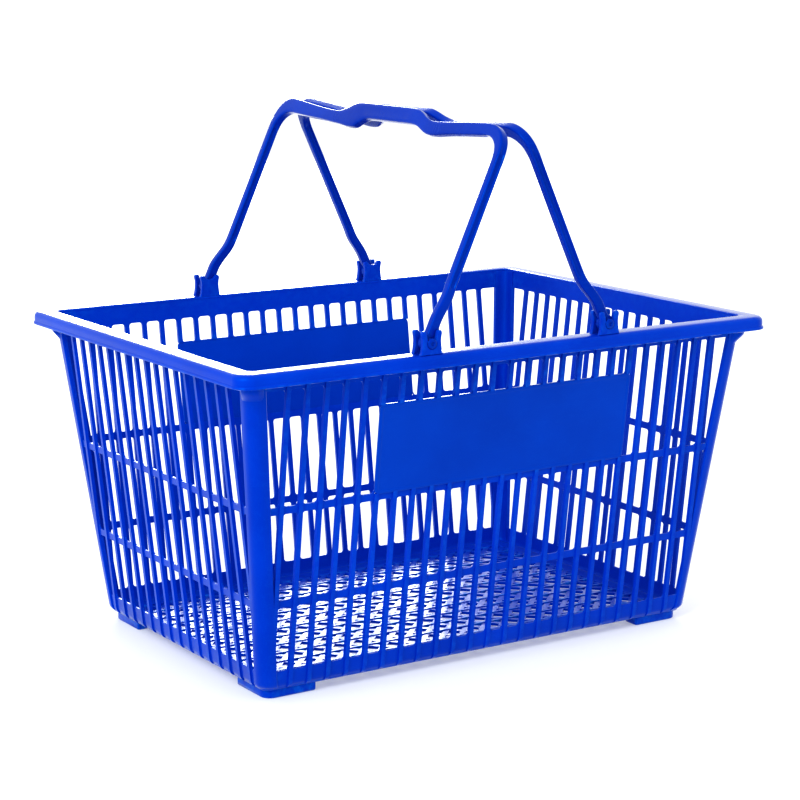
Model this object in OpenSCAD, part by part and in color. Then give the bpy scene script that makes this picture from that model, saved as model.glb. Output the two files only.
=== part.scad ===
// Hand basket for a shop: a moulded lattice basket with two bail handles that
// lean together over the middle and fold outward onto the short sides of the rim.
// X runs along the long side, Y from front to back, Z up; Z = 0 is the ground
// under the four feet, and the origin is the middle of the footprint.

/* [Basket] */
// Length over the rim, side to side
rim_l = 430; // [400:2:520]
// Width over the rim, front to back
rim_w = 318; // [290:2:390]
// Height of the rim's top face above the ground
rim_h = 228; // [186:1:280]
// Length of the base, outside
base_l = 358; // [290:2:380]
// Width of the base, outside
base_w = 235; // [190:1:260]

/* [Rim] */
// Width of the flat rim, from its outer edge to the inside of the basket
flange_w = 14.5; // [12:0.5:18]
// Thickness of the flat rim
flange_t = 2.6; // [2:0.1:4]
// Depth of the turned-down lip, from the rim's top face
lip_h = 8; // [5:0.5:12]
// Thickness of the lip
lip_t = 2.2; // [1.6:0.1:3]
// Outer corner radius of the rim, seen from above
rim_r = 12; // [10:1:30]

/* [Walls] */
// Thickness of the bands and cross bars
sheet_t = 2; // [1.6:0.1:3]
// How far the upright ribs stand out from the bands
rib_out = 2.6; // [2.6:0.1:4]
// Width of a rib
rib_w = 3.8; // [3:0.1:5.5]
// How much wider a rib's foot is than its crest, on each side
rib_foot = 0.4; // [0.2:0.1:0.8]
// Distance from one rib to the next
rib_pitch = 14.4; // [12:0.2:20]
// Depth of the solid band under the rim, from the rim's top face
top_band = 14.5; // [11:0.5:24]
// Height of the solid band above the base
low_band = 14; // [8:0.5:20]
// Height of a cross bar
bar_h = 5; // [3:0.5:8]
// Height of the lower cross bar's middle above the ground
bar_low = 67.5; // [45:0.5:85]
// Height of the upper cross bar's middle above the ground
bar_high = 132.5; // [105:0.5:138]

/* [Corners] */
// Width of a corner post on each wall
post_w = 13; // [12:0.5:20]
// Outer radius of a corner post
post_r = 9; // [8:0.5:11]
// How far the collar under the rim stays inside the rim's edge
collar_in = 8.6; // [5:0.1:9]
// Outer radius of the collar
collar_r = 8; // [5:0.5:10]
// How far the collar reaches down from the rim's top face
collar_h = 18; // [12:0.5:24]
// Length of a collar's arm, from the rim's corner
collar_arm = 20; // [17:0.5:21]

/* [Label panels] */
// Number of window columns a label panel covers
label_cols = 14; // [6:2:18]
// Distance from the rim's top face down to the panel
label_drop = 32.5; // [26:0.5:40]
// Thickness of a panel
label_t = 2.6; // [1.8:0.1:3.6]

/* [Base] */
// Height of the feet
foot_h = 6; // [3:0.5:10]
// Length of a foot's arm
foot_arm = 42; // [24:1:56]
// Width of a foot's arm
foot_w = 14; // [10:0.5:18]
// Distance from the base's edge to a foot
foot_in = 1.2; // [1:0.1:4]
// Thickness of the floor
floor_t = 2.6; // [2:0.1:4]
// Width of the floor's solid border
border_w = 15; // [12:0.5:24]
// Width of a floor bar
grid_bar = 4.4; // [3:0.1:6]
// Pitch of the floor's openings
grid_pitch = 24; // [20:0.5:32]

/* [Hinge lugs] */
// Distance between the left and the right lug of one side
lug_gap = 145; // [120:1:170]
// Width of a lug at its foot
lug_w = 19; // [16:0.5:24]
// Height of a lug above the rim
lug_h = 18.5; // [16:0.5:24]
// Thickness of a lug
lug_t = 4.4; // [3:0.1:6]
// Height of the pin above the rim
pin_h = 7; // [6.6:0.1:9]
// Diameter of a pin
pin_d = 7; // [5:0.1:8]
// Radial clearance of a pin in its lug
pin_gap = 0.05; // [0.02:0.01:0.1]
// Width of the snap-in throat above the bore
throat_w = 6.2; // [4:0.1:6.4]

/* [Handles] */
// Length of a handle, from its pin to the top of its grip
handle_r = 157; // [140:1:180]
// Thickness of a handle
bail_t = 6.5; // [5:0.1:8]
// Width of a leg, seen from the side of the basket
leg_w = 6; // [4.5:0.1:8]
// Height of the bar beside the grip
bail_h = 8; // [6:0.1:10]
// Height of the grip
grip_h = 11; // [8:0.1:13]
// How far the grip stands above the bar
grip_rise = 7.5; // [4:0.5:10]
// Length of the raised grip, between its shoulders
grip_l = 84; // [70:1:100]
// Length of a sloping shoulder
shoulder_l = 24; // [16:1:30]
// How much lower the bar is at a shoulder than at its corner
bar_dip = 2.5; // [0:0.5:4]
// Outer radius of a handle's corner
bail_r = 20; // [14:1:26]
// How far the legs stand toward the middle of the basket from the pins' plane
leg_set = 4; // [2:0.5:5]
// Distance from the pin to the middle of the knee
knee_r = 35; // [30:1:48]
// Length of the knee
knee_l = 17; // [12:1:24]
// How far the upper leg stays inside the lower leg
leg_in = 3.1; // [1:0.1:4]
// Radius of the eye round a pin
eye_r = 6; // [5.2:0.1:6.2]
// Gap between a handle's eye and its lug
side_gap = 0.3; // [0.2:0.05:0.6]
// Gap left between the two grips when they lean together
grip_gap = 0.5; // [0.3:0.1:2]

/* [Hidden] */
$fn = 48;
big = 900;
wall_d = sheet_t + rib_out;             // full depth of a wall
z_base = foot_h;                        // underside of the floor
z_low = foot_h + floor_t;               // where walls and posts begin
z_top = rim_h - flange_t;               // where they end, under the rim
in_l = rim_l / 2 - flange_w;            // inner faces, half sizes under the rim
in_w = rim_w / 2 - flange_w;
// slope of the long walls and of the short walls, as run over rise
wall_rise = z_top - z_base;
tilt_y = atan((in_w - base_w / 2 + wall_d) / wall_rise);
tilt_x = atan((in_l - base_l / 2 + wall_d) / wall_rise);
ky = tan(tilt_y);
kx = tan(tilt_x);
// inner faces at the underside of the floor
in_w0 = in_w - ky * wall_rise;
in_l0 = in_l - kx * wall_rise;
// outer faces there
out_w0 = in_w0 + wall_d / cos(tilt_y);
out_l0 = in_l0 + wall_d / cos(tilt_x);

// a post runs along the line where two outer faces meet
edge = [kx, ky, 1] / norm([kx, ky, 1]);
edge_lean = atan(norm([kx, ky]));
edge_turn = atan2(ky, kx);
ex = [cos(edge_lean) * cos(edge_turn), cos(edge_lean) * sin(edge_turn), -sin(edge_lean)];
ey = [-sin(edge_turn), cos(edge_turn), 0];
arm_a = cross(edge, [0, cos(tilt_y), -sin(tilt_y)]);
arm_b = cross([cos(tilt_x), 0, -sin(tilt_x)], edge);
turn_a = atan2(arm_a * ey, arm_a * ex);
turn_b = atan2(arm_b * ey, arm_b * ex);
arm_angle = acos(arm_a * arm_b);
dir_a = [cos(turn_a), sin(turn_a)];
dir_b = [cos(turn_b), sin(turn_b)];
round_c = (dir_a + dir_b) * post_r / sin(arm_angle);

label_w = label_cols * rib_pitch + rib_w;
label_top = rim_h - label_drop;
label_low = bar_high + bar_h / 2;

lug_x = lug_gap / 2;
pin_z = rim_h + pin_h;
lug_edge = 0.4;                         // a lug stays this far inside the rim's edge
lug_y1 = rim_w / 2 - lug_edge;          // outer and inner face of a lug
lug_y0 = lug_y1 - lug_t;
low_leg_y1 = lug_y0 - side_gap;         // outer face of a handle's lower leg
leg_y = low_leg_y1 - leg_in;            // outer face of its upper leg
pin_end = lug_y1 - 0.4;
// lean of a handle at rest: its top inner edge comes to half the grip gap
lean_reach = lug_x - grip_gap / 2;
top_q = leg_set + bail_t / 2;
lean = asin(lean_reach / norm([handle_r, top_q])) - atan(top_q / handle_r);

// ---- shared shapes -------------------------------------------------------

// a rectangle with round corners, centred
module round_rect(l, w, r) {
    square([l - 2 * r, w], center = true);
    square([l, w - 2 * r], center = true);
    for (x = [-1, 1], y = [-1, 1])
        translate([x * (l / 2 - r), y * (w / 2 - r)]) circle(r);
}

// everything between the floor's top and the rim's underside
module between() {
    translate([-big / 2, -big / 2, z_low]) cube([big, big, z_top - z_low]);
}

// ---- lattice walls -------------------------------------------------------
// A wall is drawn flat: x along the wall, y up its slope, z out through it.

// the wall's outline: its sides run beside the corner posts
module wall_outline(half0, k_end, tilt) {
    m = k_end * cos(tilt);
    v0 = wall_d * tan(tilt);
    side = post_w * sqrt(1 + m * m);
    lo = -12;
    hi = (z_top - z_base) / cos(tilt) + 12;
    x_lo = half0 + m * (lo - v0) - side;
    x_hi = half0 + m * (hi - v0) - side;
    polygon([[-x_lo, lo], [x_lo, lo], [x_hi, hi], [-x_hi, hi]]);
}

// height above the ground, as a distance up the slope
function up(z, tilt) = (z - z_base) / cos(tilt);

module label_outline(tilt) {
    translate([-label_w / 2, up(label_low, tilt)])
        square([label_w, up(label_top, tilt) - up(label_low, tilt)]);
}
// the panel's opening in the wall: as tall as the panel, and wider
module label_opening(tilt) {
    wide = label_w + rib_pitch - rib_w;
    translate([-wide / 2, up(label_low, tilt)])
        square([wide, up(label_top, tilt) - up(label_low, tilt)]);
}

// a wall has this many ribs on each side of its middle one
function rib_count(half) = floor(half / rib_pitch - 0.6);

// windows of one wall: a column of three between each pair of ribs
module windows(half, tilt) {
    n = rib_count(half);
    rows = [[z_base + low_band, bar_low - bar_h / 2],
        [bar_low + bar_h / 2, bar_high - bar_h / 2],
        [bar_high + bar_h / 2, rim_h - top_band]];
    w = rib_pitch - rib_w - 2 * rib_foot;
    for (r = rows, i = [-n - 1 : n])
        translate([i * rib_pitch + (i < -n ? -30 : rib_w / 2 + rib_foot), up(r[0], tilt)])
            square([i < -n || i == n ? 30 + rib_pitch - rib_w / 2 - rib_foot : w,
                up(r[1], tilt) - up(r[0], tilt)]);
}

// the ribs, full height
module ribs(half, tilt) {
    n = rib_count(half);
    h = (z_top - z_base) / cos(tilt) + 24;
    for (i = [-n : n])
        translate([i * rib_pitch - rib_w / 2, -12]) square([rib_w, h]);
}

module flat_wall(half0, half_top, k_end, tilt, label) {
    inner = half_top - post_w;
    linear_extrude(sheet_t) difference() {
        wall_outline(half0, k_end, tilt);
        windows(inner, tilt);
        if (label) label_opening(tilt);
    }
    translate([0, 0, sheet_t]) linear_extrude(rib_out) difference() {
        intersection() {
            ribs(inner, tilt);
            wall_outline(half0, k_end, tilt);
        }
        if (label) label_opening(tilt);
    }
}

// a flat thing stood up on the long front side, or on the short left side
module on_long() { translate([0, -in_w0, z_base]) rotate([90 + tilt_y, 0, 0]) children(); }
module on_short() { rotate([0, 0, -90]) translate([0, -in_l0, z_base]) rotate([90 + tilt_x, 0, 0]) children(); }

module long_wall() {
    intersection() {
        on_long() flat_wall(out_l0, in_l + wall_d, kx, tilt_y, true);
        between();
    }
}
module short_wall() {
    intersection() {
        on_short() flat_wall(out_w0, in_w + wall_d, ky, tilt_x, false);
        between();
    }
}
module front_wall() color("royalblue") long_wall();
module back_wall() color("royalblue") rotate([0, 0, 180]) long_wall();
module left_wall() color("dodgerblue") short_wall();
module right_wall() color("dodgerblue") rotate([0, 0, 180]) short_wall();

// ---- label panels: flush with the ribs' outer faces ------------------------

module label_panel() {
    on_long() translate([0, 0, wall_d - label_t]) linear_extrude(label_t) label_outline(tilt_y);
}
module front_label_panel() color("deepskyblue") label_panel();
module back_label_panel() color("deepskyblue") rotate([0, 0, 180]) label_panel();

// ---- corner posts --------------------------------------------------------
// Drawn for the corner at +X +Y, square to the line where the outer faces meet.

module along_edge() {
    translate([out_l0, out_w0, z_base]) rotate([0, edge_lean, edge_turn])
        translate([0, 0, -30]) linear_extrude(rim_h + 60) children();
}
// points round the corner at this radius, from arm a to arm b
function corner_arc(r, n) = [for (i = [0 : n]) let (t = turn_a + 270 + (arm_angle - 180) * i / n)
    round_c + r * [cos(t), sin(t)]];
function backward(list) = [for (i = [len(list) - 1 : -1 : 0]) list[i]];
module post_section() {
    in_a = [-sin(turn_a), cos(turn_a)] * wall_d;
    in_b = [sin(turn_b), -cos(turn_b)] * wall_d;
    polygon(concat(corner_arc(post_r, 12), [dir_b * post_w, dir_b * post_w + in_b],
        backward(corner_arc(post_r - wall_d, 6)), [dir_a * post_w + in_a, dir_a * post_w]));
}
// the space behind the posts' outer faces, at this depth
module behind(depth) {
    intersection() {
        rotate([0, 0, 180]) on_long() translate([-big / 2, -big / 2, -big / 2])
            cube([big, big, big / 2 + wall_d - depth]);
        rotate([0, 0, 180]) on_short() translate([-big / 2, -big / 2, -big / 2])
            cube([big, big, big / 2 + wall_d - depth]);
    }
}
module collar() {
    difference() {
        translate([0, 0, rim_h - collar_h]) linear_extrude(collar_h - flange_t) intersection() {
            round_rect(rim_l - 2 * collar_in, rim_w - 2 * collar_in, collar_r);
            translate([rim_l / 2 - collar_arm, rim_w / 2 - collar_arm])
                square([collar_arm, collar_arm]);
        }
        behind(0.8 * wall_d);
    }
}
module post() {
    color("mediumblue") {
        intersection() {
            along_edge() post_section();
            between();
        }
        collar();
    }
}
module back_right_post() post();
module back_left_post() mirror([1, 0, 0]) post();
module front_right_post() mirror([0, 1, 0]) post();
module front_left_post() mirror([1, 0, 0]) mirror([0, 1, 0]) post();

// ---- rim: a flat top with a turned-down lip, mitred at the corners --------

module rim_ring() {
    translate([0, 0, z_top]) linear_extrude(flange_t) difference() {
        round_rect(rim_l, rim_w, rim_r);
        round_rect(2 * in_l, 2 * in_w, post_r - wall_d);
    }
    translate([0, 0, rim_h - lip_h]) linear_extrude(lip_h - flange_t) difference() {
        round_rect(rim_l, rim_w, rim_r);
        round_rect(rim_l - 2 * lip_t, rim_w - 2 * lip_t, rim_r - lip_t);
    }
}
// the mitre runs at 45 degrees from each corner of the rim's outline
out = 20;
module long_rim() {
    intersection() {
        rim_ring();
        translate([0, 0, rim_h - 50]) linear_extrude(100)
            polygon([[-rim_l / 2 - out, -rim_w / 2 - out], [rim_l / 2 + out, -rim_w / 2 - out],
                [rim_l / 2 - rim_w / 2, 0], [rim_w / 2 - rim_l / 2, 0]]);
    }
}
module short_rim() {
    intersection() {
        rim_ring();
        translate([0, 0, rim_h - 50]) linear_extrude(100)
            polygon([[-rim_l / 2 - out, -rim_w / 2 - out], [rim_w / 2 - rim_l / 2, 0],
                [-rim_l / 2 - out, rim_w / 2 + out]]);
    }
}
module front_rim() color("slateblue") long_rim();
module back_rim() color("slateblue") rotate([0, 0, 180]) long_rim();
module left_rim() color("mediumslateblue") short_rim();
module right_rim() color("mediumslateblue") rotate([0, 0, 180]) short_rim();

// ---- floor: a solid border round a diamond grid ---------------------------

module floor_grid() {
    l = 2 * out_l0 - 2 * border_w - 2 * wall_d;
    w = 2 * out_w0 - 2 * border_w - 2 * wall_d;
    nx = floor(l / grid_pitch / 2);
    ny = floor(w / grid_pitch / 2);
    hole = (grid_pitch - grid_bar) / sqrt(2);
    color("steelblue") translate([0, 0, z_base]) linear_extrude(floor_t) difference() {
        round_rect(2 * out_l0, 2 * out_w0, post_r);
        for (i = [-nx : nx], j = [-ny : ny])
            translate([i * grid_pitch, j * grid_pitch]) rotate(45) square(hole, center = true);
        for (i = [-nx : nx - 1], j = [-ny : ny - 1])
            translate([(i + 0.5) * grid_pitch, (j + 0.5) * grid_pitch]) rotate(45)
                square(hole - grid_bar / 2, center = true);
    }
}

// ---- feet: L-shaped pads under the corners ---------------------------------

module foot() {
    color("midnightblue") linear_extrude(foot_h) intersection() {
        round_rect(2 * (out_l0 - foot_in), 2 * (out_w0 - foot_in), post_r - foot_in);
        translate([out_l0 - foot_in, out_w0 - foot_in]) union() {
            translate([-foot_arm, -foot_w]) square([foot_arm, foot_w]);
            translate([-foot_w, -foot_arm]) square([foot_w, foot_arm]);
        }
    }
}
module back_right_foot() foot();
module back_left_foot() mirror([1, 0, 0]) foot();
module front_right_foot() mirror([0, 1, 0]) foot();
module front_left_foot() mirror([1, 0, 0]) mirror([0, 1, 0]) foot();

// ---- hinge lugs: plates on the rim with a snap-in bore between two horns ----

module lug_outline() {
    w = lug_w / 2;
    polygon([[-w - 4, 0], [w + 4, 0], [w, 4], [w - 0.8, lug_h - 7], [w, lug_h - 2],
        [w - 1.4, lug_h], [w - 4, lug_h], [throat_w / 2, pin_h + pin_d / 2],
        [throat_w / 2, pin_h], [-throat_w / 2, pin_h], [-throat_w / 2, pin_h + pin_d / 2],
        [4 - w, lug_h], [1.4 - w, lug_h], [-w, lug_h - 2], [0.8 - w, lug_h - 7], [-w, 4]]);
}
module lug() {
    color("navy") translate([lug_x, lug_y1, rim_h]) rotate([90, 0, 0]) difference() {
        linear_extrude(lug_t) lug_outline();
        translate([0, pin_h, -1]) cylinder(r = pin_d / 2 + pin_gap, h = lug_t + 2);
    }
}
module back_right_lug() lug();
module back_left_lug() mirror([1, 0, 0]) lug();
module front_right_lug() mirror([0, 1, 0]) lug();
module front_left_lug() mirror([1, 0, 0]) mirror([0, 1, 0]) lug();

// ---- handles ---------------------------------------------------------------
// Drawn upright with the pins on the origin's axis; x points to the middle of
// the basket, y along the pins, z up to the grip.

bar_top = handle_r - grip_rise;         // top of the bar at a shoulder
corner_top = bar_top + bar_dip;         // and at a corner
leg_low = knee_r - knee_l / 2;
leg_high = knee_r + knee_l / 2;
grip_half = grip_l / 2 - shoulder_l / 2;

// the bail seen along x, from knee to knee
module bail_outline() {
    under = handle_r - grip_h;
    c = leg_y - bail_r;
    inner_r = bail_r - leg_w;
    for (s = [-1, 1]) {
        // leg
        translate([s > 0 ? leg_y - leg_w : -leg_y, leg_high - 3])
            square([leg_w, corner_top - bail_r - leg_high + 3]);
        // corner
        intersection() {
            difference() {
                translate([s * c, corner_top - bail_r]) circle(bail_r);
                translate([s * c, corner_top - bail_r]) circle(inner_r);
            }
            translate([s > 0 ? c : -c - bail_r, corner_top - bail_r]) square(bail_r);
        }
        // bar and shoulder
        polygon([[s * c, corner_top], [s * (grip_half + shoulder_l), bar_top],
            [s * grip_half, handle_r], [s * (grip_half - 9), under],
            [s * (grip_half + shoulder_l - 9), bar_top - bail_h],
            [s * c, corner_top - leg_w]]);
    }
    // grip
    polygon([[-grip_half, handle_r], [grip_half, handle_r], [grip_half - 9, under], [9 - grip_half, under]]);
}
// a lower leg seen along y: the eye, the straight and the knee
module lower_leg_outline() {
    h = leg_w / 2 + 0.5;
    circle(eye_r);
    polygon([[-h, 0], [h, 0], [h, leg_low], [leg_set + h, leg_high], [leg_set + h, leg_high + 3],
        [leg_set - h, leg_high + 3], [leg_set - h, leg_high], [-h, leg_low]]);
}
module handle() {
    low_t = leg_w - 0.4;
    color("blue") translate([lug_x, 0, pin_z]) rotate([0, -lean, 0]) mirror([1, 0, 0]) {
        translate([leg_set - bail_t / 2, 0, 0]) rotate([90, 0, 90]) linear_extrude(bail_t)
            bail_outline();
        for (s = [0, 1]) mirror([0, s, 0]) {
            translate([0, low_leg_y1, 0]) rotate([90, 0, 0]) linear_extrude(low_t)
                lower_leg_outline();
            translate([0, low_leg_y1 - 1, 0]) rotate([-90, 0, 0])
                cylinder(d = pin_d, h = pin_end - low_leg_y1 + 1);
        }
    }
}
module right_handle() handle();
module left_handle() mirror([1, 0, 0]) handle();

floor_grid();
front_wall();
back_wall();
left_wall();
right_wall();
front_left_post();
front_right_post();
back_left_post();
back_right_post();
front_rim();
back_rim();
left_rim();
right_rim();
front_label_panel();
back_label_panel();
front_left_foot();
front_right_foot();
back_left_foot();
back_right_foot();
front_left_lug();
front_right_lug();
back_left_lug();
back_right_lug();
left_handle();
right_handle();
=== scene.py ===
# %% [markdown]
# # A hand basket for a shop
#
# The basket is moulded in one shot from blue polypropylene: thin lattice walls that lean
# outward, stiff corner posts, a flat rim with a turned-down lip, and two bail handles whose
# pins snap into forked lugs on the rim. The measured solids come first, as a frame that
# fixes every size, and this lesson then gives each part its real edges, curves and finish.

import math

import bmesh
import bpy
import numpy as np
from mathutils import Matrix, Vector


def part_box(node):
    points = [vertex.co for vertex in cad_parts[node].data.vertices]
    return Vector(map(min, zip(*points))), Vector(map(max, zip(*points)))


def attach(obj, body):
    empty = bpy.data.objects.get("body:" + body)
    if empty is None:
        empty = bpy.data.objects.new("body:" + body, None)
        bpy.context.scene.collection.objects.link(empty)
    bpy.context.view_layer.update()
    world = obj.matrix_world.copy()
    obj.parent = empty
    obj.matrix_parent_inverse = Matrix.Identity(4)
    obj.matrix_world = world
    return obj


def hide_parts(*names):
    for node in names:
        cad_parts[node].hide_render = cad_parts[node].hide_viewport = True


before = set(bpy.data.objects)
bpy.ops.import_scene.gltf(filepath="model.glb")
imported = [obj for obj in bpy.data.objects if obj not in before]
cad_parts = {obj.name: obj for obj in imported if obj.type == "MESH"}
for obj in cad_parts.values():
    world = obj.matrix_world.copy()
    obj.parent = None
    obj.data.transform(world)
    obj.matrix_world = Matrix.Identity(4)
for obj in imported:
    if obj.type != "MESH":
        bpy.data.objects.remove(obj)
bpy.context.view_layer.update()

# %% [markdown]
# ## Sizes
#
# Everything below is worked out in millimetres, because that is how a moulder thinks, and is
# scaled to metres once, when a mesh is made. The corner positions come from the frame's own
# boxes, so the looks can never drift away from the measured part.

# %% Read the main sizes from the frame
MM = 0.001


def corner_mm(node, end):
    """The lowest (0) or highest (1) corner of a frame node, in millimetres."""
    return np.array(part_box(node)[end]) / MM


RIM_X = corner_mm("right_rim", 1)[0]          # half the rim's length
RIM_Y = corner_mm("back_rim", 1)[1]           # half its width
RIM_Z = corner_mm("back_rim", 1)[2]           # its top face
BASE_X, BASE_Y, FLOOR_TOP = corner_mm("floor_grid", 1)
FLOOR_LOW = corner_mm("floor_grid", 0)[2]     # the floor's underside, on the feet
FLANGE, FLANGE_T = 14.5, 2.6                  # width and thickness of the flat rim
SHEET = 1.4                                   # bands and cross bars
WALL = 2.5                                    # full depth of the ribbed wall
POST_DEPTH = 3.4                              # wall of a corner post
RIB, RIB_FOOT, PITCH = 3.2, 0.3, 14.4         # rib crest, its wider foot, and spacing
TUCK = 5.0                                    # radius that turns the walls in at the base
UNDER_RIM = RIM_Z - FLANGE_T                  # underside of the flat rim
WALL_TOP = RIM_Z - 1.8                        # walls and posts end inside the flat rim
WALL_FOOT = FLOOR_LOW + 0.6                   # they start just above the floor's underside

IN_X, IN_Y = RIM_X - FLANGE, RIM_Y - FLANGE   # inner faces at the rim
RISE = UNDER_RIM - FLOOR_LOW
SLOPE_X = (IN_X + WALL - BASE_X) / RISE       # how far a wall leans out per unit of height
SLOPE_Y = (IN_Y + WALL - BASE_Y) / RISE
print(f"rim {2 * RIM_X:.0f} x {2 * RIM_Y:.0f} x {RIM_Z:.0f} mm")
print(f"base {2 * BASE_X:.0f} x {2 * BASE_Y:.0f} mm")


def tuck(z):
    """How far the wall turns in near the base: radius - sqrt(radius^2 - drop^2), where drop is
    the height below the start of the turn, kept a little short of the radius."""
    below = np.clip(WALL_FOOT + TUCK - np.asarray(z, float), 0, TUCK * 0.97)
    return TUCK - np.sqrt(TUCK ** 2 - below ** 2)


def outer_x(z):
    """Outer face of the short walls at height z: straight, then turned in at the base."""
    return BASE_X + SLOPE_X * (z - FLOOR_LOW) - tuck(z)


def outer_y(z):
    """Outer face of the long walls at height z."""
    return BASE_Y + SLOPE_Y * (z - FLOOR_LOW) - tuck(z)


# heights of the rows that make the turn at the base, closer together where it is steepest
TURN_ROWS = WALL_FOOT + TUCK * (1 - np.cos(np.linspace(0, np.pi / 2, 6)))


# %% [markdown]
# ## Finishes
#
# Moulded polypropylene is a deep, saturated blue with a soft gloss. Three things make it look
# real: a fine spark-eroded grain, a slow drift of gloss where the melt cooled unevenly, and a
# painted highlight that turns the convex edges paler azure. Painted textures would need
# unwrapped surfaces, and a lattice of hundreds of ribs unwraps badly. So each effect is worked
# out from the object's own coordinates, in one shader group that is built once, and each
# material uses it with its own strength.

# %% Shader groups for grain, painted edge highlights and handling marks


def new_group(name, inputs, outputs):
    """A shader node group: inputs are (name, type, default) and outputs are (name, type)."""
    group = bpy.data.node_groups.new(name, "ShaderNodeTree")
    for label, kind, default in inputs:
        socket = group.interface.new_socket(label, in_out="INPUT", socket_type=kind)
        socket.default_value = default
    for label, kind in outputs:
        group.interface.new_socket(label, in_out="OUTPUT", socket_type=kind)
    return group, group.nodes.new("NodeGroupInput"), group.nodes.new("NodeGroupOutput")


def put(tree, kind, **settings):
    """A new node with these properties. A key that starts with a capital is an input socket."""
    node = tree.nodes.new(kind)
    for key, value in settings.items():
        if key[0].isupper():
            node.inputs[key.replace("_", " ")].default_value = value
        else:
            setattr(node, key, value)
    return node


def maths(tree, operation, a, b=None, clamp=False):
    """A Math node; a and b are numbers or sockets. Returns its output."""
    node = put(tree, "ShaderNodeMath", operation=operation, use_clamp=clamp)
    for index, value in enumerate((a, b)):
        if isinstance(value, (int, float)):
            node.inputs[index].default_value = value
        elif value is not None:
            tree.links.new(value, node.inputs[index])
    return node.outputs[0]


def blend_colours(tree, factor, first, second):
    """A colour Mix node from first to second by factor. Returns its colour output."""
    node = put(tree, "ShaderNodeMix", data_type="RGBA")
    factor_in, first_in, second_in = node.inputs[0], node.inputs[6], node.inputs[7]
    for socket, value in ((factor_in, factor), (first_in, first), (second_in, second)):
        if isinstance(value, (int, float, tuple)):
            socket.default_value = value
        else:
            tree.links.new(value, socket)
    return node.outputs[2]


FLOAT = "NodeSocketFloat"

# moulded grain: two scales of noise, the fine one as a height and the slow one as a mask
grain_group, g_in, g_out = new_group(
    "moulded_grain", [("Scale", FLOAT, 900.0)], [("Height", FLOAT), ("Flow", FLOAT)])
coords = put(grain_group, "ShaderNodeTexCoord")
fine = put(grain_group, "ShaderNodeTexNoise", Detail=3.0, Roughness=0.6)
slow = put(grain_group, "ShaderNodeTexNoise", Scale=14.0, Detail=4.0, Roughness=0.55)
for texture in (fine, slow):
    grain_group.links.new(coords.outputs["Object"], texture.inputs["Vector"])
grain_group.links.new(g_in.outputs["Scale"], fine.inputs["Scale"])
grain_group.links.new(fine.outputs["Fac"], g_out.inputs["Height"])
grain_group.links.new(slow.outputs["Fac"], g_out.inputs["Flow"])

# painted edge highlight: clamp((pointiness - 0.52) * 9) picks the convex edges, which are painted
# paler as if lit, and clamp((noise - 0.42) * 4) leaves gaps in them
edge_highlight_group, w_in, w_out = new_group(
    "painted_edge_highlight", [("Amount", FLOAT, 0.5), ("Scale", FLOAT, 180.0)], [("Mask", FLOAT)])
surface = put(edge_highlight_group, "ShaderNodeNewGeometry")
coords = put(edge_highlight_group, "ShaderNodeTexCoord")
breaks = put(edge_highlight_group, "ShaderNodeTexNoise", Detail=5.0, Roughness=0.7)
edge_highlight_group.links.new(coords.outputs["Object"], breaks.inputs["Vector"])
edge_highlight_group.links.new(w_in.outputs["Scale"], breaks.inputs["Scale"])
past_flat = maths(edge_highlight_group, "SUBTRACT", surface.outputs["Pointiness"], 0.52)
sharp = maths(edge_highlight_group, "MULTIPLY", past_flat, 9.0, True)
past_gap = maths(edge_highlight_group, "SUBTRACT", breaks.outputs["Fac"], 0.42)
patchy = maths(edge_highlight_group, "MULTIPLY", past_gap, 4.0, True)
highlit_edge = maths(edge_highlight_group, "MULTIPLY", sharp, patchy)
highlight_mask = maths(edge_highlight_group, "MULTIPLY", highlit_edge, w_in.outputs["Amount"])
edge_highlight_group.links.new(highlight_mask, w_out.inputs["Mask"])

# scuffs: thin pale scratches, as bands where a stretched noise crosses its middle value
scuff_group, s_in, s_out = new_group(
    "scuffs", [("Amount", FLOAT, 0.3), ("Scale", FLOAT, 26.0)], [("Mask", FLOAT)])
coords = put(scuff_group, "ShaderNodeTexCoord")
turn = put(scuff_group, "ShaderNodeMapping", Rotation=(0.4, 0.7, 0.3), Scale=(1.0, 9.0, 3.0))
streak = put(scuff_group, "ShaderNodeTexNoise", Detail=6.0, Roughness=0.65)
scuff_group.links.new(coords.outputs["Object"], turn.inputs["Vector"])
scuff_group.links.new(turn.outputs["Vector"], streak.inputs["Vector"])
scuff_group.links.new(s_in.outputs["Scale"], streak.inputs["Scale"])
off_middle = maths(scuff_group, "ABSOLUTE", maths(scuff_group, "SUBTRACT", streak.outputs["Fac"], 0.5))
off_line = maths(scuff_group, "MULTIPLY", off_middle, 60.0)
line_mask = maths(scuff_group, "SUBTRACT", 1.0, off_line, True)
scuff_mask = maths(scuff_group, "MULTIPLY", line_mask, s_in.outputs["Amount"])
scuff_group.links.new(scuff_mask, s_out.inputs["Mask"])
print("shader groups:", [g.name for g in bpy.data.node_groups])

# %% [markdown]
# The shader itself stays outside the groups. Base Color drifts a little between two blues and
# goes paler on the convex edges, as a painted highlight, and on scuffs; Roughness follows the
# melt's flow, and a Bump node turns the fine grain into a normal. Clear white reflections would
# bleach so strong a blue, so the shader's own reflection is tinted, and a clear coat shines only
# where a surface is seen at a slant, which draws the bright line along the rim.

# %% Blue polypropylene in three finishes


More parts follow.
